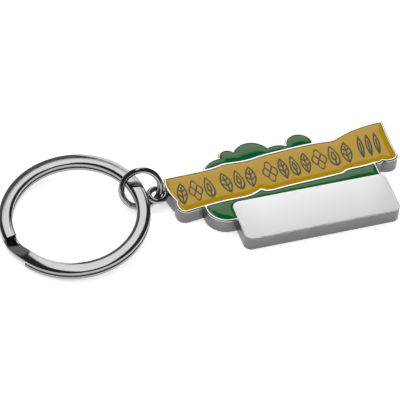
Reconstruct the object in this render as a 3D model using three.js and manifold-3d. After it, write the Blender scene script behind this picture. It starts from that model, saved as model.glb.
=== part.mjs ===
// Enamelled charm keychain: a die-cast charm with enamel fills, hung from a key ring by a jump ring.
//
// Millimetres. The charm lies face up with its back on Z = 0. The origin is the middle of the blank
// name plate, on the back face. X runs along the name plate, away from the key ring, and Y runs
// from the name plate towards the hedge.
import * as THREE from "three";
import { mergeVertices } from "three/addons/utils/BufferGeometryUtils.js";
import Module from "manifold-3d";

// ---- driving dimensions ----------------------------------------------------------------------

const CHARM_THICKNESS = 3.1;
const CAST_EDGE = 0.12; // chamfer round every edge of the casting
const RIM = 0.45; // polished wall left standing round each enamel cell
const CELL_DEPTH = 0.8; // how far the cells are sunk into the face
const FIT_GAP = 0.04; // between a fill, a line or a wire and the metal it sits in
const ENAMEL_SINK = 0.14; // the fills stop this far below the rims
const ENAMEL_EDGE = 0.12;

const PLATE = { length: 30.5, width: 9.6, corner: 1.5 };

const LINE_WIDTH = 0.28; // lines of the ornament on the banner
const LINE_THICKNESS = 0.1;

const EYELET = { outer: 4.2, wire: 1.1, seam: 0.1, seamAngle: 0, centre: [-27.7, 10.62, 2.5] };
const JUMP_RING = { outer: 8.56, wire: 1.2, seam: 0.15, seamAngle: -132 };
const SPLIT_RING = {
  outer: 28,
  wireWidth: 2.5,
  wireThickness: 1.05,
  squareness: 4, // of the wire's section
  layerGap: 0.05,
  start: 212.5, // angles along the wire's two turns
  climbStart: 548.5,
  climbEnd: 572,
  end: 907,
};

// How the two loose rings lie beside the charm: a centre, and the way each ring's face looks.
const JUMP_RING_REST = { centre: [-30.671, 11.49, 4.072], face: [-0.0958, -0.9106, 0.4021] };
const SPLIT_RING_REST = { centre: [-44.06, 9.15, 2.72], face: [-0.118, -0.038, 0.992] };

// ---- materials -------------------------------------------------------------------------------

const material = (color, metalness, roughness) =>
  new THREE.MeshStandardMaterial({ color, metalness, roughness });

const MATERIALS = {
  nickel: material(0xd8dade, 1.0, 0.25),
  gunmetal: material(0x6e6f75, 1.0, 0.2),
  yellowEnamel: material(0xc8992a, 0.0, 0.25),
  greenEnamel: material(0x2f6b45, 0.0, 0.25),
  darkLine: material(0x3c3a40, 0.2, 0.4),
};

// ---- solids ----------------------------------------------------------------------------------

const wasm = await Module();
wasm.setup();

function solidOf(geometry) {
  const bare = new THREE.BufferGeometry();
  bare.setAttribute("position", geometry.getAttribute("position"));
  bare.setIndex(geometry.getIndex());
  const merged = mergeVertices(bare, 1e-4);
  const mesh = new wasm.Mesh({
    numProp: 3,
    vertProperties: new Float32Array(merged.getAttribute("position").array),
    triVerts: new Uint32Array(merged.getIndex().array),
  });
  return new wasm.Manifold(mesh);
}

function meshOf(name, solid, finish) {
  const { vertProperties, triVerts } = solid.getMesh();
  const shared = new THREE.BufferGeometry();
  shared.setAttribute("position", new THREE.BufferAttribute(vertProperties, 3));
  shared.setIndex(new THREE.BufferAttribute(triVerts, 1));
  const geometry = shared.toNonIndexed();
  geometry.computeVertexNormals();
  const mesh = new THREE.Mesh(geometry, finish);
  mesh.name = name;
  return mesh;
}

const union = (solids) => solids.reduce((sum, solid) => sum.add(solid));

// An anticlockwise outline as an upright solid, with its top and bottom edges chamfered by `edge`.
function prism(outline, bottom, top, edge = 0) {
  const geometry = new THREE.ExtrudeGeometry(new THREE.Shape(outline), {
    depth: top - bottom - 2 * edge,
    bevelEnabled: edge > 0,
    bevelThickness: edge,
    bevelSize: edge,
    bevelOffset: -edge,
    bevelSegments: 1,
  });
  return solidOf(geometry.translate(0, 0, bottom + edge));
}

// ---- outlines --------------------------------------------------------------------------------

const points = (pairs) => pairs.map(([x, y]) => new THREE.Vector2(x, y));

// A smooth curve through a few points, without its last point so that stretches can be joined.
const smooth = (pairs, steps) =>
  new THREE.SplineCurve(points(pairs)).getSpacedPoints(steps).slice(0, -1);

// The way out of an anticlockwise outline, square to the stretch from one point to the next.
const outwards = (from, to) => {
  const along = to.clone().sub(from).normalize();
  return new THREE.Vector2(along.y, -along.x);
};

// An anticlockwise outline grown by `distance`, or shrunk when it is negative.
function grown(outline, distance) {
  return outline.map((point, i) => {
    const before = outline[(i + outline.length - 1) % outline.length];
    const after = outline[(i + 1) % outline.length];
    const side = outwards(point, after);
    const mitre = outwards(before, point).add(side).normalize();
    const reach = distance / Math.max(mitre.dot(side), 0.4);
    return point.clone().addScaledVector(mitre, reach);
  });
}

function circle(x, y, radius, steps) {
  return new THREE.EllipseCurve(x, y, radius, radius).getPoints(steps).slice(0, -1);
}

function roundedRectangle(left, bottom, right, top, radius) {
  const corners = [
    [right - radius, top - radius, 0],
    [left + radius, top - radius, Math.PI / 2],
    [left + radius, bottom + radius, Math.PI],
    [right - radius, bottom + radius, Math.PI * 1.5],
  ];
  return corners.flatMap(([x, y, start]) =>
    new THREE.EllipseCurve(x, y, radius, radius, start, start + Math.PI / 2).getPoints(8),
  );
}

// The waving banner, at the edge of its enamel: a torn left end, a long ribbon that dips at a fold
// over the name plate, and a swallow tail at the right.
const BANNER = [
  ...smooth([[-23.6, 5.0], [-20.0, 5.4], [-16.0, 5.75], [-11.4, 5.85], [-8.6, 6.9]], 18),
  ...smooth([[-8.6, 6.9], [-7.2, 6.15], [-3.0, 6.45], [7.3, 7.0]], 14),
  ...smooth([[7.3, 7.0], [8.9, 7.6], [12.4, 7.75], [14.3, 8.0]], 7),
  ...smooth([[14.3, 8.0], [15.1, 7.9], [16.0, 8.3]], 4),
  ...smooth([[16.0, 8.3], [17.0, 7.9], [18.3, 8.05], [18.9, 8.7]], 6),
  ...smooth([[18.9, 8.7], [18.75, 12.4], [19.0, 17.35]], 5),
  ...smooth([[19.0, 17.35], [15.8, 17.1], [12.4, 16.4], [8.6, 15.0]], 10),
  ...smooth([[8.6, 15.0], [3.0, 15.1], [-5.0, 14.6], [-9.0, 14.05], [-13.6, 14.2]], 16),
  ...smooth([[-13.6, 14.2], [-17.0, 13.6], [-25.15, 13.4]], 10),
  ...smooth([[-25.15, 13.4], [-25.45, 11.3], [-24.95, 8.8], [-24.55, 7.7]], 8),
  ...smooth([[-24.55, 7.7], [-24.8, 6.6], [-24.5, 5.4], [-23.6, 5.0]], 7),
];

// The rounded tops of the hedge that show above the banner.
const HEDGE_LOBES = [
  { x: -13.9, y: 11.9, radius: 3.95 },
  { x: -12.1, y: 16.0, radius: 1.55 },
  { x: -7.6, y: 14.8, radius: 3.65 },
  { x: -2.6, y: 12.5, radius: 4.0 },
  { x: 2.05, y: 15.85, radius: 2.4 },
];

// The foot of the hedge, below the banner: a round lobe at the left of the plate, a strip above it.
const HEDGE_FOOT = { left: -19.85, bottom: 0.85, right: 14.1, hiddenTop: 12, radius: 3.6 };

// ---- the charm's areas, each as a solid that can be grown or shrunk --------------------------

const banner = (grow, bottom, top, edge) => prism(grown(BANNER, grow), bottom, top, edge);

const hedgeTop = (grow, bottom, top, edge) =>
  union(
    HEDGE_LOBES.map(({ x, y, radius }) =>
      prism(circle(x, y, radius + grow, radius > 2 ? 40 : 28), bottom, top, edge),
    ),
  );

function hedgeFoot(grow, bottom, top, edge) {
  const { left, bottom: low, right, hiddenTop, radius } = HEDGE_FOOT;
  const outline = roundedRectangle(left - grow, low - grow, right + grow, hiddenTop, radius + grow);
  return prism(outline, bottom, top, edge);
}

function namePlate(grow, bottom, top, edge) {
  const halfLength = PLATE.length / 2 + grow;
  const halfWidth = PLATE.width / 2 + grow;
  const corner = PLATE.corner + grow;
  return prism(
    roundedRectangle(-halfLength, -halfWidth, halfLength, halfWidth, corner),
    bottom,
    top,
    edge,
  );
}

// The three enamel areas, each shrunk by `gap` from the walls of its cell.
const enamelAreas = {
  banner: (gap, bottom, top, edge) => banner(-gap, bottom, top, edge),
  hedgeTop: (gap, bottom, top, edge) =>
    hedgeTop(-gap, bottom, top, edge).subtract(banner(RIM + gap, bottom - 1, top + 1)),
  hedgeFoot: (gap, bottom, top, edge) =>
    hedgeFoot(-gap, bottom, top, edge)
      .subtract(banner(RIM + gap, bottom - 1, top + 1))
      .subtract(namePlate(gap, bottom - 1, top + 1)),
};

// ---- wire rings ------------------------------------------------------------------------------

// A wire bent along a path: `at(t)` gives the angle round the ring and the height of its middle,
// and `section` is the wire's cross-section as (radial, upright) points about that middle.
function bentWire(radius, section, at, steps) {
  const position = [];
  const index = [];
  for (let step = 0; step <= steps; step += 1) {
    const { angle, height } = at(step / steps);
    for (const { x: radial, y: upright } of section) {
      const reach = radius + radial;
      position.push(reach * Math.cos(angle), reach * Math.sin(angle), height + upright);
    }
  }
  const count = section.length;
  for (let step = 0; step < steps; step += 1) {
    for (let i = 0; i < count; i += 1) {
      const near = step * count + i;
      const nearNext = step * count + ((i + 1) % count);
      index.push(near, nearNext + count, nearNext, near, near + count, nearNext + count);
    }
  }
  const last = steps * count;
  for (let i = 1; i < count - 1; i += 1) {
    index.push(0, i, i + 1, last, last + i + 1, last + i);
  }
  const geometry = new THREE.BufferGeometry();
  geometry.setAttribute("position", new THREE.Float32BufferAttribute(position, 3));
  geometry.setIndex(index);
  return solidOf(geometry);
}

const roundWire = (diameter, steps) => circle(0, 0, diameter / 2, steps);

// Flat wire: nearly level faces that round over into its edges. A squareness of 2 is an ellipse.
function flatWire(width, thickness, squareness, steps) {
  const rounded = (value) => Math.sign(value) * Math.abs(value) ** (2 / squareness);
  return circle(0, 0, 1, steps).map(
    ({ x, y }) => new THREE.Vector2((rounded(x) * width) / 2, (rounded(y) * thickness) / 2),
  );
}

// A round-wire ring closed end to end, with a fine seam at `seamAngle` degrees.
function closedWireRing({ outer, wire, seam, seamAngle }, steps) {
  const radius = (outer - wire) / 2;
  const halfSeam = seam / radius / 2;
  const turn = 2 * (Math.PI - halfSeam);
  const start = THREE.MathUtils.degToRad(seamAngle) + halfSeam;
  const at = (t) => ({ angle: start + t * turn, height: 0 });
  return bentWire(radius, roundWire(wire, 12), at, steps);
}

// The split ring: one flat wire of two turns. It starts in the lower layer, climbs over its own
// start between `climbStart` and `climbEnd`, and ends at the top just short of the climb. Degrees.
function splitRingWire() {
  const { outer, wireWidth, wireThickness, squareness, layerGap } = SPLIT_RING;
  const { start, climbStart, climbEnd, end } = SPLIT_RING;
  const layer = (wireThickness + layerGap) / 2;
  const at = (t) => {
    const degrees = THREE.MathUtils.lerp(start, end, t);
    const climbed = THREE.MathUtils.smoothstep(degrees, climbStart, climbEnd);
    return {
      angle: THREE.MathUtils.degToRad(degrees),
      height: THREE.MathUtils.lerp(-layer, layer, climbed),
    };
  };
  const radius = (outer - wireWidth) / 2;
  return bentWire(radius, flatWire(wireWidth, wireThickness, squareness, 16), at, 174);
}

// ---- ornament on the banner ------------------------------------------------------------------

const LINE_TOP = CHARM_THICKNESS - 0.01;
const LINE_BOTTOM = LINE_TOP - LINE_THICKNESS;

// The line between an outline and the same outline drawn smaller.
const lineBetween = (outer, inner) =>
  prism(outer, LINE_BOTTOM, LINE_TOP).subtract(prism(inner, LINE_BOTTOM - 1, LINE_TOP + 1));

function straightLine([x0, y0], [x1, y1]) {
  const from = new THREE.Vector2(x0, y0);
  const to = new THREE.Vector2(x1, y1);
  const side = outwards(from, to).multiplyScalar(LINE_WIDTH / 2);
  const outline = [
    from.clone().add(side),
    to.clone().add(side),
    to.clone().sub(side),
    from.clone().sub(side),
  ];
  return prism(outline, LINE_BOTTOM, LINE_TOP);
}

// Each motif is drawn upright about (0, 0) in a box of `width` by `height`.

// A pointed outline, `fullness` 1 for a plain leaf and less for one that is fatter at its foot.
function pointedOutline(width, height, fullness) {
  const steps = 9;
  const side = (sign) =>
    [...Array(steps).keys()].map((step) => {
      const t = sign > 0 ? step / steps : 1 - step / steps;
      const belly = Math.sin(Math.PI * t ** fullness) ** 0.8;
      return new THREE.Vector2((sign * width * belly) / 2, height * (t - 0.5));
    });
  return [...side(1), ...side(-1)];
}

function pointedLine(width, height, fullness = 1) {
  const endWidth = (LINE_WIDTH * height) / width; // a line measured lengthwise across its sharp tip
  const inner = pointedOutline(width - 2 * LINE_WIDTH, height - 1.4 * endWidth, fullness);
  return lineBetween(pointedOutline(width, height, fullness), inner);
}

function leaf(width, height) {
  const veins = [-0.16, 0.08].flatMap((level) =>
    [-1, 1].map((side) => {
      const tip = [side * width * 0.36, height * (level + 0.15)];
      return straightLine([0, height * level], tip);
    }),
  );
  const rib = straightLine([0, -height * 0.45], [0, height * 0.32]);
  return union([pointedLine(width, height), rib, ...veins]);
}

function slimLeaf(width, height) {
  const rib = straightLine([0, -height * 0.45], [0, height * 0.2]);
  return union([pointedLine(width, height), rib]);
}

function bud(width, height) {
  const stem = straightLine([0, -height * 0.45], [0, -height * 0.2]);
  return union([
    pointedLine(width, height, 0.7),
    pointedLine(width * 0.46, height * 0.48, 0.7),
    stem,
  ]);
}

function blossomOutline(width, height) {
  const steps = 32;
  return [...Array(steps).keys()].map((step) => {
    const angle = (step / steps) * 2 * Math.PI;
    const reach = 0.43 + 0.07 * Math.cos(4 * angle);
    return new THREE.Vector2(width * reach * Math.cos(angle), height * reach * Math.sin(angle));
  });
}

function blossom(width, height) {
  const inner = blossomOutline(width - 2 * LINE_WIDTH, height - 2.4 * LINE_WIDTH);
  const folds = [1, 3, 5, 7].map((eighth) => {
    const angle = (eighth * Math.PI) / 4;
    const notch = [width * 0.35 * Math.cos(angle), height * 0.35 * Math.sin(angle)];
    return straightLine([0, 0], notch);
  });
  return union([lineBetween(blossomOutline(width, height), inner), ...folds]);
}

// Left to right along the banner; `lean` tips a motif clockwise, in degrees.
const MOTIFS = [
  { name: "leaf_1", draw: leaf, x: -23.3, width: 2.0, height: 5.5, lean: 8 },
  { name: "blossom_1", draw: blossom, x: -20.6, width: 2.8, height: 5.3, lean: 0 },
  { name: "bud_1", draw: bud, x: -17.95, width: 2.0, height: 5.5, lean: 0 },
  { name: "leaf_2", draw: leaf, x: -14.5, width: 2.1, height: 5.4, lean: -5 },
  { name: "bud_2", draw: bud, x: -12.0, width: 2.0, height: 5.2, lean: 0 },
  { name: "leaf_3", draw: leaf, x: -9.55, width: 2.1, height: 5.3, lean: 6 },
  { name: "blossom_2", draw: blossom, x: -5.6, width: 3.0, height: 5.4, lean: 0 },
  { name: "leaf_4", draw: leaf, x: -2.95, width: 1.9, height: 5.4, lean: 0 },
  { name: "bud_3", draw: bud, x: -0.7, width: 1.9, height: 5.4, lean: 0 },
  { name: "leaf_5", draw: leaf, x: 1.6, width: 1.9, height: 5.4, lean: 4 },
  { name: "blossom_3", draw: blossom, x: 4.4, width: 3.0, height: 5.4, lean: 0 },
  { name: "bud_4", draw: bud, x: 7.3, width: 2.2, height: 5.4, lean: 0 },
  { name: "leaf_6", draw: leaf, x: 10.0, width: 2.1, height: 5.4, lean: 4 },
  { name: "slim_leaf_1", draw: slimLeaf, x: 13.1, width: 1.2, height: 5.9, lean: 7, lift: 0.45 },
  { name: "slim_leaf_2", draw: slimLeaf, x: 14.75, width: 1.2, height: 5.9, lean: 7, lift: 0.45 },
  { name: "slim_leaf_3", draw: slimLeaf, x: 16.4, width: 1.2, height: 5.9, lean: 7, lift: 0.45 },
];

// The motifs follow the rising middle line of the ribbon.
const ribbonMiddle = (x) => 10.8 + 0.072 * x;

const ornament = () =>
  MOTIFS.map(({ name, draw, x, width, height, lean, lift = 0 }) => {
    const solid = draw(width, height)
      .rotate([0, 0, -lean])
      .translate([x, ribbonMiddle(x) + lift, 0]);
    return meshOf(`banner_${name}`, solid, MATERIALS.darkLine);
  });

// ---- the pieces ------------------------------------------------------------------------------

const eyeletWire = () => closedWireRing(EYELET, 32).translate(EYELET.centre);

// The room that the back of the eyelet takes up in the charm's edge.
function eyeletChannel() {
  const outer = EYELET.outer + 2 * FIT_GAP;
  const wire = EYELET.wire + 2 * FIT_GAP;
  const room = closedWireRing({ ...EYELET, outer, wire, seam: 1e-3 }, 32);
  return room.translate(EYELET.centre);
}

function charmCasting() {
  const body = union(
    [banner, hedgeTop, hedgeFoot].map((area) => area(RIM, 0, CHARM_THICKNESS, CAST_EDGE)),
  ).add(namePlate(0, 0, CHARM_THICKNESS, CAST_EDGE));
  const floor = CHARM_THICKNESS - CELL_DEPTH;
  const cells = Object.values(enamelAreas).map((area) => area(0, floor, CHARM_THICKNESS + 1));
  return body.subtract(union(cells)).subtract(eyeletChannel());
}

function enamelFill(area) {
  const bottom = CHARM_THICKNESS - CELL_DEPTH + FIT_GAP;
  return enamelAreas[area](FIT_GAP, bottom, CHARM_THICKNESS - ENAMEL_SINK, ENAMEL_EDGE);
}

// A loose ring, built flat about its own centre, turned to face its way and set in its place.
function laidDown({ centre, face }, mesh) {
  const group = new THREE.Group();
  const facing = new THREE.Vector3(...face).normalize();
  group.quaternion.setFromUnitVectors(new THREE.Vector3(0, 0, 1), facing);
  group.position.set(...centre);
  group.add(mesh);
  return group;
}

const charm = new THREE.Group();
charm.add(
  meshOf("charm_casting", charmCasting(), MATERIALS.nickel),
  meshOf("banner_enamel", enamelFill("banner"), MATERIALS.yellowEnamel),
  meshOf("hedge_top_enamel", enamelFill("hedgeTop"), MATERIALS.greenEnamel),
  meshOf("hedge_foot_enamel", enamelFill("hedgeFoot"), MATERIALS.greenEnamel),
  meshOf("eyelet", eyeletWire(), MATERIALS.gunmetal),
  ...ornament(),
);

const jumpRing = laidDown(
  JUMP_RING_REST,
  meshOf("jump_ring", closedWireRing(JUMP_RING, 48), MATERIALS.gunmetal),
);

const splitRing = laidDown(
  SPLIT_RING_REST,
  meshOf("split_ring", splitRingWire(), MATERIALS.gunmetal),
);

const group = new THREE.Group();
group.add(charm, jumpRing, splitRing);

export default group;
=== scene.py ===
"""Enamelled charm keychain: the looks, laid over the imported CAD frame.

Outlines, ring places and wire sizes are measured on the CAD nodes, in millimetres, and rebuilt as
finer meshes: rounded rims, domed enamel, raised line-work and smooth wires. How the split ring's
wire runs and climbs is stated here. Blender objects are in metres.
"""
import math

import bmesh
import bpy
import numpy as np
from mathutils import Matrix, Vector
from mathutils.geometry import delaunay_2d_cdt


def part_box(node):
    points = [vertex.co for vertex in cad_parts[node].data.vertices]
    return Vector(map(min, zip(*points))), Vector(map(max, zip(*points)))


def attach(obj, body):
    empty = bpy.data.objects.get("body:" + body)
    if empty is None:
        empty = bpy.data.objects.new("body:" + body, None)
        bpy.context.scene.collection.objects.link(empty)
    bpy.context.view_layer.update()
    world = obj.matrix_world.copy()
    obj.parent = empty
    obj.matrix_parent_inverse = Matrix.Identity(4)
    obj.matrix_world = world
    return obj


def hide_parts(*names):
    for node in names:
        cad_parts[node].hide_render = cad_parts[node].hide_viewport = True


MM = 0.001

# ---- driving values, in millimetres and degrees ----------------------------------------------

WELD_DISTANCE = 1e-3  # CAD vertices closer than this are one point
PLANE_TOLERANCE = 1e-5
FLAT_POINT = 2e-3  # a point is left out where the next one is less than this off its line
OUTLINE_STEP = 0.3  # spacing of points along a rebuilt outline
CORNER_TURN = 25.0  # an outline that turns more than this at one point has a corner there
RIM_ROUNDING = 0.24  # outer edges of the rims
PLATE_ROUNDING = 0.1  # and of the name plate
BACK_ROUNDING = 0.15
CELL_ROUNDING = 0.08  # edges of the enamel cells
ROUNDING_STEPS = 5
SUPPORT_STEP = 0.03  # a narrow flat border inside the rounded rims keeps their shading clean
SHARP_EDGE = 50.0  # faces that meet at more than this are shaded with an edge
CELL_GAP = 0.04  # the CAD leaves this gap between a fill and the wall of its cell

ENAMEL_EDGE = 0.1  # depth of a fill below the rims, along its walls
ENAMEL_GRID = 0.2  # spacing of points over a fill
GRID_CLEARANCE = 0.6  # how far the grid keeps from the walls, in spacings
# How high a fill rises from its walls, and how far from them it becomes level.
ENAMEL_CROWNS = {
    "banner_enamel": (0.13, 1.5),
    "hedge_top_enamel": (0.18, 2.0),
    "hedge_foot_enamel": (0.13, 1.4),
}

RIDGE_CLEARANCE = 0.45  # ridges nearer to a wall than this are left as they are
RIDGE_PASSES = 12

LINE_RISE = 0.05  # how far the line-work stands above the enamel
LINE_ROUNDING = 0.04
LINE_ROUNDING_STEPS = 2

WIRE_STEP = 0.25
WIRE_SIDES = 40
FLAT_WIRE_RATIO = 1.5  # a wire this many times wider than thick is a flat wire
ROUND_WIRE_POWER = 2.0  # a section of power 2 is an ellipse, and more is squarer
FLAT_WIRE_POWER = 4.0
CUT_ROUNDING = 0.12  # edges of a cut wire end
CUT_ROUNDING_STEPS = 4
RIM_SECTOR = 15.0  # a ring's centre is found from its outermost point in each such sector
SECTION_SPREAD = 0.5  # the points of one section of a CAD wire lie within this angle
LAYER_GAP = 0.05  # between the two turns of the split ring
SPLIT_RING_RUN = (212.5, 548.5, 572.0, 907.0)  # its start, the climb between its layers, its end
CLIMB_TWIST = 4.0  # the wire leans outwards as it climbs
TWIST_FADE = 75.0  # and comes level again over this many degrees

# The camera looks at AIM from this side and this far away.
AZIMUTH = -21.73
ELEVATION = 47.21
ROLL = 5.38
DISTANCE = 600.0
AIM = (-19.78, 8.82, 0.81)
LENS = 289.9
SENSOR = 36.0
NEAREST_SEEN = 10.0

FLOOR_HALF = 3000.0
FLOOR_STEP = 200.0
FLOOR_DROP = 0.02  # keeps the floor clear of the charm's back
# The world's grey changes between two directions, given by how far back they point.
WORLD_SPAN = (0.58, 0.8)
WORLD_GREYS = (0.05, 0.33)

NOISE_ROUGHNESS = 0.55
# A speck is solid inside the first radius and gone at the second, both in speck widths.
SPECK_RADII = (0.35, 0.6)
# The side walls' finish has a base colour darkened with painted shade.
POLISHED, SATIN, SIDE = range(3)  # the finishes of the casting

# ---- the frame -------------------------------------------------------------------------------

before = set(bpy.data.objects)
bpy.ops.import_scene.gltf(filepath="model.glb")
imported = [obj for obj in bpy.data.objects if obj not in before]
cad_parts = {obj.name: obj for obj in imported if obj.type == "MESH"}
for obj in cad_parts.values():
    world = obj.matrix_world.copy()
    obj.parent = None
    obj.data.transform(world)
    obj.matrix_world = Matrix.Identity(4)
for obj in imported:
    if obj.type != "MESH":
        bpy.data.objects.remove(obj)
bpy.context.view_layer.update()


def node_points(node):
    """A CAD node's vertices, one row each."""
    return np.array([vertex.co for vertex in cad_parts[node].data.vertices]) / MM


def node_box(node):
    low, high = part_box(node)
    return np.array(low) / MM, np.array(high) / MM


# ---- outlines --------------------------------------------------------------------------------


def section(node, height):
    """The closed outlines where a level plane cuts a CAD node, material on their left."""
    cut = bmesh.new()
    cut.from_mesh(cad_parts[node].data)
    bmesh.ops.scale(cut, vec=Vector((1, 1, 1)) / MM, verts=cut.verts)
    bmesh.ops.remove_doubles(cut, verts=cut.verts, dist=WELD_DISTANCE)
    found = bmesh.ops.bisect_plane(
        cut,
        geom=cut.verts[:] + cut.edges[:] + cut.faces[:],
        dist=PLANE_TOLERANCE,
        plane_co=(0, 0, height),
        plane_no=(0, 0, 1),
    )
    edges = [part for part in found["geom_cut"] if isinstance(part, bmesh.types.BMEdge)]
    loops = [without_flat_points(loop) for loop in loops_along(edges)]
    cut.free()
    return facing_material(loops)


def loops_along(edges):
    """The closed loops that some edges make up, as rows of x and y."""
    joined = {}
    for edge in edges:
        one, other = edge.verts
        joined.setdefault(one, []).append(other)
        joined.setdefault(other, []).append(one)
    loops = []
    while joined:
        here = next(iter(joined))
        loop = []
        while here in joined:
            loop.append((here.co.x, here.co.y))
            one, other = joined.pop(here)
            here = one if one in joined else other
        loops.append(np.array(loop))
    return loops


def without_flat_points(loop):
    """The loop without the points that lie on a line between their neighbours."""
    before = loop - np.roll(loop, 1, 0)
    after = np.roll(loop, -1, 0) - loop
    bend = np.abs(cross(before, after)) / np.hypot(*before.T)
    return loop[bend > FLAT_POINT]


def cross(a, b):
    return a[..., 0] * b[..., 1] - a[..., 1] * b[..., 0]


def area(loop):
    return cross(loop, np.roll(loop, -1, 0)).sum() / 2


def facing_material(loops):
    """Outer outlines anticlockwise and holes clockwise."""
    turned = []
    for i, loop in enumerate(loops):
        others = loops[:i] + loops[i + 1 :]
        is_hole = inside(loop[:1], others)[0]
        turned.append(loop if (area(loop) > 0) != is_hole else loop[::-1])
    return turned


def inside(points, loops):
    """Which points lie inside an odd number of loops."""
    odd = np.zeros(len(points), bool)
    for loop in loops:
        start, end = loop, np.roll(loop, -1, 0)
        for (x0, y0), (x1, y1) in zip(start, end):
            if y0 != y1:
                spans = (y0 > points[:, 1]) != (y1 > points[:, 1])
                crossing = x0 + (points[:, 1] - y0) * (x1 - x0) / (y1 - y0)
                odd ^= spans & (points[:, 0] < crossing)
    return odd


def distance_to(points, loops):
    """How far each point is from the nearest loop."""
    nearest = np.full(len(points), np.inf)
    for loop in loops:
        for start, side in zip(loop, np.roll(loop, -1, 0) - loop):
            along = np.clip((points - start) @ side / (side @ side), 0, 1)
            nearest = np.minimum(nearest, np.hypot(*(points - start - np.outer(along, side)).T))
    return nearest


def smoothed(loop, step=OUTLINE_STEP):
    """A finer loop through the same points: smooth, but for corners that turn sharply."""
    ahead = np.roll(loop, -1, 0) - loop
    behind = loop - np.roll(loop, 1, 0)
    turn = np.degrees(np.arctan2(cross(behind, ahead), (behind * ahead).sum(1)))
    heading = ahead + behind
    heading /= np.maximum(np.hypot(*heading.T), 1e-9)[:, None]
    corner = np.abs(turn) > CORNER_TURN
    fine = []
    for i, chord in enumerate(ahead):
        j = (i + 1) % len(loop)
        length = np.hypot(*chord)
        leave = chord if corner[i] else heading[i] * length
        arrive = chord if corner[j] else heading[j] * length
        pieces = max(1, math.ceil(length / step))
        for t in np.arange(pieces) / pieces:
            fine.append(
                (2 * t**3 - 3 * t**2 + 1) * loop[i]
                + (t**3 - 2 * t**2 + t) * leave
                + (3 * t**2 - 2 * t**3) * loop[j]
                + (t**3 - t**2) * arrive
            )
    return np.array(fine)


def moved_in(loop, distance):
    """The loop moved towards the material on its left."""
    ahead = np.roll(loop, -1, 0) - loop
    ahead /= np.hypot(*ahead.T)[:, None]
    left = np.stack([-ahead[:, 1], ahead[:, 0]], 1)
    mitre = left + np.roll(left, 1, 0)
    mitre /= np.maximum(np.hypot(*mitre.T), 1e-6)[:, None]
    reach = distance / np.maximum((mitre * left).sum(1), 0.5)
    return loop + mitre * reach[:, None]


# ---- meshes ----------------------------------------------------------------------------------


class Shell:
    """Faces gathered from strips and fills, then welded into one mesh."""

    def __init__(self):
        self.points = []
        self.faces = []
        self.finishes = []

    def add(self, points, faces, finish):
        """`finish` is a material number, or gives one for each face from its middle."""
        first = len(self.points)
        self.points.extend(points)
        self.faces.extend([first + corner for corner in face] for face in faces)
        if callable(finish):
            middles = np.array([points[list(face)].mean(0) for face in faces])
            self.finishes.extend(int(number) for number in finish(middles))
        else:
            self.finishes.extend([finish] * len(faces))

    def strip(self, rows, finish=0):
        """Quads between neighbouring rows of points, each row a closed loop."""
        count = len(rows[0])
        faces = []
        for row in range(len(rows) - 1):
            for i in range(count):
                near = row * count + i
                far = row * count + (i + 1) % count
                faces.append((near, far, far + count, near + count))
        self.add(np.concatenate(rows), faces, finish)

    def fill(self, loops, height, finish=0, seeds=None, facing_up=True):
        """Triangles over the area of some loops, at a level or a height that varies."""
        outline = np.concatenate(loops)
        edges = []
        first = 0
        for loop in loops:
            edges += [(first + i, first + (i + 1) % len(loop)) for i in range(len(loop))]
            first += len(loop)
        flat = outline if seeds is None else np.concatenate([outline, seeds])
        found = delaunay_2d_cdt([Vector(point) for point in flat], edges, [], 0, 1e-5, False)
        flat = np.array(found[0])
        faces = np.array(found[2])
        faces = faces[inside(flat[faces].mean(1), loops)]
        self.add(lifted(flat, height), (faces if facing_up else faces[:, ::-1]).tolist(), finish)

    def piece(self, name, materials):
        mesh = bpy.data.meshes.new(name)
        mesh.from_pydata((np.array(self.points) * MM).tolist(), [], self.faces)
        mesh.polygons.foreach_set("material_index", self.finishes)
        for material in materials:
            mesh.materials.append(material)
        welded = bmesh.new()
        welded.from_mesh(mesh)
        bmesh.ops.remove_doubles(welded, verts=welded.verts, dist=1e-7)
        welded.to_mesh(mesh)
        welded.free()
        mesh.shade_smooth()
        mesh.set_sharp_from_angle(angle=math.radians(SHARP_EDGE))
        made = bpy.data.objects.new(name, mesh)
        bpy.context.scene.collection.objects.link(made)
        return made


def lifted(flat, height):
    """Flat points as points in space, at a level or at a height that varies."""
    level = height(flat) if callable(height) else height
    return np.column_stack([flat, np.broadcast_to(level, len(flat))])


def rounding(radius, steps=ROUNDING_STEPS):
    """A quarter round as (how far in, how far below the top), from the side to the top."""
    turns = np.linspace(0, math.pi / 2, steps + 1)
    return [(radius * (1 - math.cos(turn)), radius * (1 - math.sin(turn))) for turn in turns]


def rounded_rows(loop, radius, level, sign=1):
    """The rows of a rounded edge; with sign -1 it is the bottom edge, from its face to the side."""
    rows = [lifted(moved_in(loop, depth), level - sign * drop) for depth, drop in rounding(radius)]
    return rows if sign > 0 else rows[::-1]


def as_piece(made, body, slot, *nodes):
    """Hangs a finished piece on the frame in the place of its CAD nodes."""
    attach(made, body)
    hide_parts(*nodes)
    return made


# ---- materials -------------------------------------------------------------------------------


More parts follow.
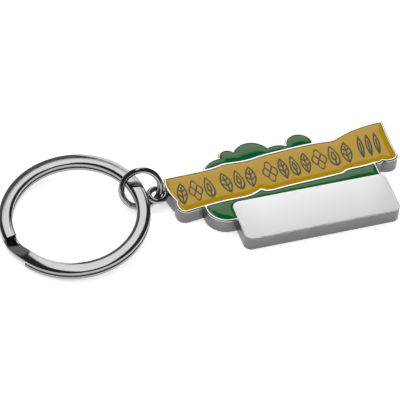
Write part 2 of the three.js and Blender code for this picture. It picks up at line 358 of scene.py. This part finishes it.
class Finish:
    """One material's node tree, with short ways to add and join its nodes."""

    def __init__(self, name, along_wire=False):
        self.material = bpy.data.materials.new(name)
        self.material.use_nodes = True
        self.nodes = self.material.node_tree.nodes
        self.links = self.material.node_tree.links
        self.shader = self.nodes["Principled BSDF"]
        place = self.nodes.new("ShaderNodeTexCoord")
        scaled = self.nodes.new("ShaderNodeVectorMath")
        scaled.operation = "SCALE"
        scaled.inputs["Scale"].default_value = 1.0 if along_wire else 1 / MM
        self.links.new(place.outputs["UV" if along_wire else "Object"], scaled.inputs[0])
        self.place = scaled.outputs["Vector"]

    def set(self, **values):
        for name, value in values.items():
            self.shader.inputs[name.replace("_", " ")].default_value = value
        return self

    def noise(self, size, detail=3.0, stretch=(1, 1, 1)):
        """Noise whose grains are `size` mm, longer along an axis where `stretch` is larger."""
        mapping = self.nodes.new("ShaderNodeMapping")
        mapping.inputs["Scale"].default_value = [1 / (size * longer) for longer in stretch]
        self.links.new(self.place, mapping.inputs["Vector"])
        texture = self.nodes.new("ShaderNodeTexNoise")
        texture.inputs["Scale"].default_value = 1.0
        texture.inputs["Detail"].default_value = detail
        texture.inputs["Roughness"].default_value = NOISE_ROUGHNESS
        self.links.new(mapping.outputs["Vector"], texture.inputs["Vector"])
        return texture.outputs["Fac"]

    def specks(self, size, share):
        """Round specks about `size` mm wide; `share` is their width over their spacing."""
        mapping = self.nodes.new("ShaderNodeMapping")
        mapping.inputs["Scale"].default_value = [share / size] * 3
        self.links.new(self.place, mapping.inputs["Vector"])
        texture = self.nodes.new("ShaderNodeTexVoronoi")
        texture.inputs["Scale"].default_value = 1.0
        self.links.new(mapping.outputs["Vector"], texture.inputs["Vector"])
        solid, gone = (radius * share for radius in SPECK_RADII)
        return self.ranged(texture.outputs["Distance"], solid, gone, 1.0, 0.0)

    def ranged(self, value, low, high, to_low, to_high):
        node = self.nodes.new("ShaderNodeMapRange")
        set_range(node, (low, high), (to_low, to_high))
        self.links.new(value, node.inputs["Value"])
        return node.outputs["Result"]

    def blended(self, share, low, high):
        """A colour between two others; either may be a colour or another node's output."""
        node = self.nodes.new("ShaderNodeMix")
        node.data_type = "RGBA"
        self.links.new(share, node.inputs["Factor"])
        for name, colour in (("A", low), ("B", high)):
            socket = next(s for s in node.inputs if s.name == name and s.type == "RGBA")
            if isinstance(colour, bpy.types.NodeSocket):
                self.links.new(colour, socket)
            else:
                socket.default_value = (*colour, 1.0)
        return next(s for s in node.outputs if s.type == "RGBA")

    def bump(self, height, depth):
        """Raises the surface by up to `depth` mm."""
        node = self.nodes.new("ShaderNodeBump")
        node.inputs["Distance"].default_value = depth * MM
        self.links.new(height, node.inputs["Height"])
        self.links.new(node.outputs["Normal"], self.shader.inputs["Normal"])
        return self

    def link(self, **outputs):
        for name, output in outputs.items():
            self.links.new(output, self.shader.inputs[name.replace("_", " ")])
        return self


def set_range(node, before, after):
    """Makes a map range node turn one pair of values into another."""
    names = ("From Min", "From Max", "To Min", "To Max")
    for name, number in zip(names, (*before, *after)):
        node.inputs[name].default_value = number


def polished_nickel():
    finish = Finish("polished_nickel").set(Metallic=1.0)
    wear = finish.noise(1.4, detail=4)
    hairlines = finish.noise(0.05, detail=2, stretch=(30, 1, 1))
    finish.link(
        Base_Color=finish.blended(wear, (0.62, 0.62, 0.63), (0.74, 0.74, 0.745)),
        Roughness=finish.ranged(wear, 0.3, 0.75, 0.1, 0.2),
    )
    return finish.bump(hairlines, 0.0015).material


def satin_nickel():
    """The blank plate: finely brushed along its length."""
    finish = Finish("satin_nickel").set(Metallic=1.0)
    brushing = finish.noise(0.07, detail=3, stretch=(40, 1, 1))
    cloud = finish.noise(5.0, detail=2)
    finish.link(
        Base_Color=finish.blended(cloud, (0.82, 0.82, 0.825), (0.88, 0.88, 0.885)),
        Roughness=finish.ranged(brushing, 0.2, 0.8, 0.36, 0.48),
    )
    return finish.bump(brushing, 0.002).material


def shaded_cast_nickel():
    """The side walls: as cast, with a soft skin and less polish, and a base colour darkened with
    painted shade: far darker than the nickel of the top, standing in for the shade that the walls
    mirror from the floor beside them.
    """
    finish = Finish("shaded_cast_nickel").set(Metallic=1.0)
    skin = finish.noise(0.35, detail=4)
    cloud = finish.noise(2.5, detail=3)
    # painted shade: the wall's base colour is kept far darker than the polished top's
    finish.link(
        Base_Color=finish.blended(cloud, (0.148, 0.148, 0.151), (0.204, 0.204, 0.207)),
        Roughness=finish.ranged(skin, 0.3, 0.7, 0.24, 0.38),
    )
    return finish.bump(skin, 0.012).material


def gunmetal():
    """Dark bright-plated wire, with faint drawing lines along it."""
    finish = Finish("gunmetal", along_wire=True).set(Metallic=1.0)
    drawn = finish.noise(0.06, detail=2, stretch=(60, 1, 1))
    wear = finish.noise(1.8, detail=4, stretch=(3, 1, 1))
    finish.link(
        Base_Color=finish.blended(wear, (0.28, 0.28, 0.285), (0.38, 0.38, 0.385)),
        Roughness=finish.ranged(wear, 0.3, 0.75, 0.04, 0.12),
    )
    return finish.bump(drawn, 0.0012).material


def enamel(name, deep, pale, dust):
    finish = Finish(name).set(IOR=1.5, Specular_Tint=(1.0, 0.82, 0.6, 1.0))
    cloud = finish.noise(4.0, detail=3)
    fine = finish.noise(0.12, detail=2)
    swell = finish.noise(1.6, detail=1)
    pigment = finish.blended(cloud, deep, pale)
    finish.link(
        Base_Color=finish.blended(finish.specks(0.05, 0.12), pigment, dust),
        Roughness=finish.ranged(fine, 0.2, 0.8, 0.04, 0.1),
    )
    return finish.bump(swell, 0.004).material


def line_paint():
    finish = Finish("dark_line").set(IOR=1.45)
    grain = finish.noise(0.08, detail=3)
    finish.link(
        Base_Color=finish.blended(grain, (0.035, 0.04, 0.03), (0.075, 0.08, 0.065)),
        Roughness=finish.ranged(grain, 0.2, 0.8, 0.28, 0.45),
    )
    return finish.bump(grain, 0.006).material


def floor_paper():
    """White paper that gives off light of its own, so that shadows on it stay faint."""
    finish = Finish("floor_paper").set(
        Specular_IOR_Level=0.0, Emission_Color=(1.0, 1.0, 1.0, 1.0), Emission_Strength=0.5
    )
    grain = finish.noise(2.0, detail=3)
    finish.link(
        Base_Color=finish.blended(grain, (0.87, 0.87, 0.87), (0.89, 0.89, 0.89)),
        Roughness=finish.ranged(grain, 0.3, 0.7, 0.85, 0.95),
    )
    return finish.bump(grain, 0.02).material


# ---- the charm -------------------------------------------------------------------------------

FACE = node_box("charm_casting")[1][2]
CELL_FLOOR = node_box("banner_enamel")[0][2] - CELL_GAP


def casting_outlines():
    """The outer outline and the cells, all with the metal on their left."""
    outer = max(section("charm_casting", BACK_ROUNDING * 2), key=area)
    below_chamfer = (FACE + CELL_FLOOR) / 2
    cells = [loop for loop in section("charm_casting", below_chamfer) if area(loop) < 0]
    return smoothed(outer), [smoothed(cell) for cell in cells]


def plate_test(outer):
    """A test of which points lie over the name plate, whose middle is the origin."""
    half_width = -node_box("charm_casting")[0][1]
    half_length = outer[np.abs(outer[:, 1]) < half_width / 2][:, 0].max() + RIM_ROUNDING
    return lambda points: (np.abs(points[:, 0]) < half_length) & (points[:, 1] < half_width)


def add_cell(shell, cell):
    """Adds the walls and floor of an enamel cell, and returns its rim."""
    lip = rounded_rows(cell, CELL_ROUNDING, FACE)
    shell.strip([lifted(cell, CELL_FLOOR), *lip], finish=POLISHED)
    shell.fill([cell], CELL_FLOOR, finish=SIDE)
    return lip[-1][:, :2]


def make_casting(polished, satin, side):
    outer, cells = casting_outlines()
    on_plate = plate_test(outer)

    def face_finish(points):
        return np.where(on_plate(points), SATIN, POLISHED)

    shell = Shell()
    back = rounded_rows(outer, BACK_ROUNDING, 0, sign=-1)
    edge = np.where(on_plate(outer), PLATE_ROUNDING, RIM_ROUNDING)
    front = rounded_rows(outer, edge, FACE)
    support = lifted(moved_in(outer, edge + SUPPORT_STEP), FACE)
    shell.strip([*back, front[0]], finish=SIDE)
    shell.strip([*front, support], finish=face_finish)
    shell.fill([back[0][:, :2]], 0, finish=SIDE, facing_up=False)
    rims = [add_cell(shell, cell) for cell in cells]
    shell.fill([support[:, :2], *rims], FACE, finish=face_finish)
    made = shell.piece("charm_body", [polished, satin, side])
    return as_piece(made, "charm", "casting", "charm_casting")


def crown(node, loops):
    """How high a fill stands: level in the middle, drawn down towards its walls."""
    rise, reach = ENAMEL_CROWNS[node]

    def height(points):
        near = np.maximum(1 - distance_to(points, loops) / reach, 0)
        return FACE - ENAMEL_EDGE + rise * (1 - near**2)

    return height


def grid_inside(loops, spacing):
    """A regular grid of points that keeps a little clear of the loops."""
    outline = np.concatenate(loops)
    low, high = outline.min(0), outline.max(0)
    across = [np.arange(a, b, spacing) for a, b in zip(low, high)]
    grid = np.stack(np.meshgrid(*across), -1).reshape(-1, 2)
    grid = grid[inside(grid, loops)]
    return grid[distance_to(grid, loops) > spacing * GRID_CLEARANCE]


def enamel_outlines(node):
    """The outlines of a fill, out to the walls of its cell."""
    low, high = node_box(node)
    return [
        moved_in(smoothed(loop), -CELL_GAP)
        for loop in section(node, (low[2] + high[2]) / 2)
    ]


def make_enamel(node, slot, material):
    loops = enamel_outlines(node)
    bottom = node_box(node)[0][2]
    height = crown(node, loops)
    shell = Shell()
    for loop in loops:
        shell.strip([lifted(loop, bottom), lifted(loop, height)])
    shell.fill(loops, bottom, facing_up=False)
    shell.fill(loops, height, seeds=grid_inside(loops, ENAMEL_GRID))
    made = shell.piece(node + "_fill", [material])
    soften_ridges(made, loops)
    return as_piece(made, "charm", slot, node)


def soften_ridges(made, loops):
    """Rounds off the ridges where a fill comes down to walls on two sides."""
    fill = bmesh.new()
    fill.from_mesh(made.data)
    spots = np.array([vertex.co.xy for vertex in fill.verts]) / MM
    away = distance_to(spots, loops)
    deep = [vertex for vertex, far in zip(fill.verts, away) if far > RIDGE_CLEARANCE]
    for _ in range(RIDGE_PASSES):
        bmesh.ops.smooth_vert(fill, verts=deep, factor=0.5, use_axis_z=True)
    fill.to_mesh(made.data)
    fill.free()


def make_line(node, ground, material):
    """One motif of the line-work, lying on the enamel."""
    low, high = node_box(node)
    loops = [smoothed(loop) for loop in section(node, (low[2] + high[2]) / 2)]

    def level(rise):
        return lambda points: ground(points) + rise

    shell = Shell()
    tops = []
    for loop in loops:
        rows = [lifted(loop, level(-LINE_RISE))]
        for depth, drop in rounding(LINE_ROUNDING, LINE_ROUNDING_STEPS):
            rows.append(lifted(moved_in(loop, depth), level(LINE_RISE - drop)))
        shell.strip(rows)
        tops.append(rows[-1][:, :2])
    shell.fill(tops, level(LINE_RISE))
    shell.fill(loops, level(-LINE_RISE), facing_up=False)
    made = shell.piece(node + "_line", [material])
    return as_piece(made, "charm", "dark_line", node)


# ---- wires -----------------------------------------------------------------------------------


def ring_frame(node):
    """Where a wire ring lies: its centre, and its axes as rows with the way it faces last."""
    points = node_points(node)
    middle = points.mean(0)
    facing = np.linalg.svd(points - middle, full_matrices=False)[2][2]
    facing = Vector(facing if facing[2] > 0 else -facing)
    turned = Vector((0, 0, 1)).rotation_difference(facing).to_matrix()
    axes = np.array(turned.transposed())
    x, y, _ = in_ring((middle, axes), points)
    shift = rim_centre(x, y)
    return middle + shift[0] * axes[0] + shift[1] * axes[1], axes


def in_ring(ring, points):
    """Points measured from a ring's centre along its axes, as x, y and z."""
    centre, axes = ring
    return ((points - centre) @ axes.T).T


def rim_centre(x, y):
    """The centre of the circle that runs through a ring's outermost points."""
    sector = np.round(np.degrees(np.arctan2(y, x)) / RIM_SECTOR)
    outermost = [
        max(np.flatnonzero(sector == number), key=lambda i: x[i] ** 2 + y[i] ** 2)
        for number in np.unique(sector)
    ]
    rim_x, rim_y = x[outermost], y[outermost]
    circle = np.column_stack([2 * rim_x, 2 * rim_y, np.ones(len(rim_x))])
    return np.linalg.lstsq(circle, rim_x**2 + rim_y**2, rcond=None)[0][:2]


def wire_size(node, ring):
    """A ring's radius along the middle of its wire, and how wide and deep its wires are in all."""
    x, y, z = in_ring(ring, node_points(node))
    reach = np.hypot(x, y)
    return (reach.max() + reach.min()) / 2, np.ptp(reach), np.ptp(z)


def seam_angles(node, ring):
    """Where the wire of a ring with one seam starts and ends: the node's sections lie closer
    together there than anywhere else."""
    x, y, _ = in_ring(ring, node_points(node))
    ordered = np.sort(np.arctan2(y, x))
    gaps = np.diff(ordered, append=ordered[0] + 2 * math.pi)
    steps = np.flatnonzero(gaps > math.radians(SECTION_SPREAD))
    seam = steps[np.argmin(gaps[steps])]
    start = ordered[(seam + 1) % len(ordered)]
    return start, start + 2 * math.pi - gaps[seam]


def wire_profile(width, thickness):
    """A wire's section as (radial, upright) points: round, or flat with a crowned face."""
    power = FLAT_WIRE_POWER if width > FLAT_WIRE_RATIO * thickness else ROUND_WIRE_POWER
    turns = np.linspace(0, 2 * math.pi, WIRE_SIDES, endpoint=False)
    sides = np.column_stack([np.cos(turns), np.sin(turns)])
    return np.sign(sides) * np.abs(sides) ** (2 / power) * [width / 2, thickness / 2]


def wire_stations(start, end):
    """Places along a wire, with how far its section is drawn in there to round the cut ends."""
    bevel = rounding(CUT_ROUNDING, CUT_ROUNDING_STEPS)
    middle = np.arange(start + CUT_ROUNDING, end - CUT_ROUNDING, WIRE_STEP)[1:]
    stations = [(start + inward, shrink) for shrink, inward in reversed(bevel)]
    stations += [(at, 0) for at in middle]
    stations += [(end - inward, shrink) for shrink, inward in bevel]
    return stations


def wire_rows(ring, radius, run, profile, pose):
    """The sections of a bent wire. `run` is the angles it starts and ends at, and `pose` gives
    how high the middle of the wire is at an angle and how far it leans outwards."""
    centre, axes = ring
    start, end = (angle * radius for angle in run)
    size = np.ptp(profile, axis=0)
    rows = []
    for at, shrink in wire_stations(start, end):
        angle = at / radius
        height, lean = pose(angle)
        radial, upright = (profile * (1 - 2 * shrink / size)).T
        reach = radius + radial * math.cos(lean) + upright * math.sin(lean)
        level = height + upright * math.cos(lean) - radial * math.sin(lean)
        local = [reach * math.cos(angle), reach * math.sin(angle), level]
        rows.append(centre + np.column_stack(local) @ axes)
    return rows


def make_wire(node, body, material, ring, radius, rows):
    """A wire through some sections, closed at both ends."""
    shell = Shell()
    shell.strip(rows)
    end_face = list(range(len(rows[0])))
    shell.add(rows[0], [end_face[::-1]], 0)
    shell.add(rows[-1], [end_face], 0)
    made = shell.piece(node + "_wire", [material])
    lay_uv_along(made, ring, radius)
    return as_piece(made, body, "gunmetal", node)


def make_round_ring(node, body, material):
    """A round wire bent into a ring with one seam."""
    ring = ring_frame(node)
    radius, width, _ = wire_size(node, ring)
    run = seam_angles(node, ring)
    rows = wire_rows(ring, radius, run, wire_profile(width, width), lambda angle: (0, 0))
    make_wire(node, body, material, ring, radius, rows)


def make_split_ring(material):
    """One flat wire of two turns, which climbs over its own start."""
    ring = ring_frame("split_ring")
    radius, width, depth = wire_size("split_ring", ring)
    thickness = (depth - LAYER_GAP) / 2
    layer = (depth - thickness) / 2
    start, climb_start, climb_end, end = (math.radians(angle) for angle in SPLIT_RING_RUN)

    def pose(angle):
        climbed = eased((angle - climb_start) / (climb_end - climb_start))
        levelled = eased((angle - climb_end) / math.radians(TWIST_FADE))
        lean = math.radians(CLIMB_TWIST) * climbed * (1 - levelled)
        clear = width / 2 * math.sin(lean)
        return layer * (2 * climbed - 1) + clear, lean

    rows = wire_rows(ring, radius, (start, end), wire_profile(width, thickness), pose)
    make_wire("split_ring", "split_ring", material, ring, radius, rows)


def eased(share):
    """A share from 0 to 1 that sets off and arrives gently."""
    share = min(max(share, 0), 1)
    return share * share * (3 - 2 * share)


def lay_uv_along(made, ring, radius):
    """A UV map in millimetres: along the wire, and across it."""
    mesh = made.data
    layer = mesh.uv_layers.new(name="along_wire")
    spots = np.array([vertex.co for vertex in mesh.vertices]) / MM
    x, y, z = in_ring(ring, spots)
    along = np.arctan2(y, x) * radius
    across = np.hypot(x, y) + z
    turn = 2 * math.pi * radius
    for face in mesh.polygons:
        first = along[face.vertices[0]]
        for corner, number in zip(face.loop_indices, face.vertices):
            unrolled = along[number] + turn * round((first - along[number]) / turn)
            layer.data[corner].uv = (unrolled, across[number])


# ---- surroundings ----------------------------------------------------------------------------


def view_axes(azimuth, elevation, roll=0.0):
    """Right, up and back of a camera, as rows."""
    a, e, r = (math.radians(angle) for angle in (azimuth, elevation, roll))
    back = Vector((math.sin(a) * math.cos(e), -math.cos(a) * math.cos(e), math.sin(e)))
    right = Vector((math.cos(a), math.sin(a), 0))
    up = back.cross(right)
    return (
        right * math.cos(r) + up * math.sin(r),
        up * math.cos(r) - right * math.sin(r),
        back,
    )


def placed(thing, right, up, back, spot):
    """Sets a camera or a light at a spot in millimetres, looking away from `back`."""
    made = bpy.data.objects.new(thing.name, thing)
    rotation = Matrix((right, up, back)).transposed().to_4x4()
    made.matrix_world = Matrix.Translation(Vector(spot) * MM) @ rotation
    bpy.context.scene.collection.objects.link(made)
    return made


def make_camera():
    right, up, back = view_axes(AZIMUTH, ELEVATION, ROLL)
    camera = bpy.data.cameras.new("camera")
    camera.lens = LENS
    camera.sensor_width = SENSOR
    camera.clip_start = NEAREST_SEEN * MM
    bpy.context.scene.camera = placed(camera, right, up, back, Vector(AIM) + back * DISTANCE)


def make_softbox(name, aim, azimuth, elevation, distance, size, radiance, in_gloss=True):
    """A soft light that looks at `aim`; `size` is the width and height of its face."""
    right, up, back = view_axes(azimuth, elevation)
    light = bpy.data.lights.new(name, "AREA")
    light.shape = "RECTANGLE"
    light.size, light.size_y = (side * MM for side in size)
    light.energy = radiance * math.pi * light.size * light.size_y
    made = placed(light, right, up, back, Vector(aim) + back * distance)
    made.visible_glossy = in_gloss


def make_floor():
    shell = Shell()
    square = FLOOR_HALF * np.array([(-1, -1), (1, -1), (1, 1), (-1, 1)])
    shell.fill([smoothed(square, FLOOR_STEP)], 0.0)
    floor = shell.piece("floor", [floor_paper()])
    floor.location.z = -FLOOR_DROP * MM


def make_world():
    """A dim studio, lighter low down behind the object than above and in front of it."""
    world = bpy.data.worlds.new("studio")
    world.use_nodes = True
    nodes, links = world.node_tree.nodes, world.node_tree.links
    place = nodes.new("ShaderNodeTexCoord")
    parts = nodes.new("ShaderNodeSeparateXYZ")
    grey = nodes.new("ShaderNodeMapRange")
    set_range(grey, WORLD_SPAN, WORLD_GREYS)
    links.new(place.outputs["Generated"], parts.inputs["Vector"])
    links.new(parts.outputs["Y"], grey.inputs["Value"])
    links.new(grey.outputs["Result"], nodes["Background"].inputs["Color"])
    bpy.context.scene.world = world


def make_surroundings():
    bpy.context.scene.view_settings.view_transform = "Standard"
    make_world()
    charm = (0, 9, 3)
    ring = (-44, 9, 3)
    make_softbox(
        "softbox_behind", charm, azimuth=161, elevation=34.3, distance=900, size=(330, 600),
        radiance=1.65,
    )
    make_softbox(
        "softbox_over_ring", ring, azimuth=178, elevation=73, distance=700, size=(150, 520),
        radiance=1.95,
    )
    make_softbox(
        "fill_above", charm, azimuth=0, elevation=89, distance=1200, size=(2600, 2600),
        radiance=1.35, in_gloss=False,
    )
    make_floor()


# ---- the object ------------------------------------------------------------------------------


def make_charm():
    make_casting(polished_nickel(), satin_nickel(), shaded_cast_nickel())
    green = enamel("green_enamel", (0.0, 0.085, 0.022), (0.001, 0.1, 0.027), (0.01, 0.14, 0.045))
    yellow = enamel("yellow_enamel", (0.37, 0.22, 0.001), (0.4, 0.24, 0.003), (0.46, 0.3, 0.03))
    make_enamel("banner_enamel", "yellow_enamel", yellow)
    make_enamel("hedge_top_enamel", "green_enamel", green)
    make_enamel("hedge_foot_enamel", "green_enamel", green)
    paint = line_paint()
    banner_top = crown("banner_enamel", enamel_outlines("banner_enamel"))
    motifs = [node for node in sorted(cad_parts) if node.startswith("banner_")]
    motifs.remove("banner_enamel")
    for node in motifs:
        make_line(node, banner_top, paint)


def make_rings():
    metal = gunmetal()
    make_round_ring("eyelet", "charm", metal)
    make_round_ring("jump_ring", "jump_ring", metal)
    make_split_ring(metal)


make_camera()
make_charm()
make_rings()
make_surroundings()
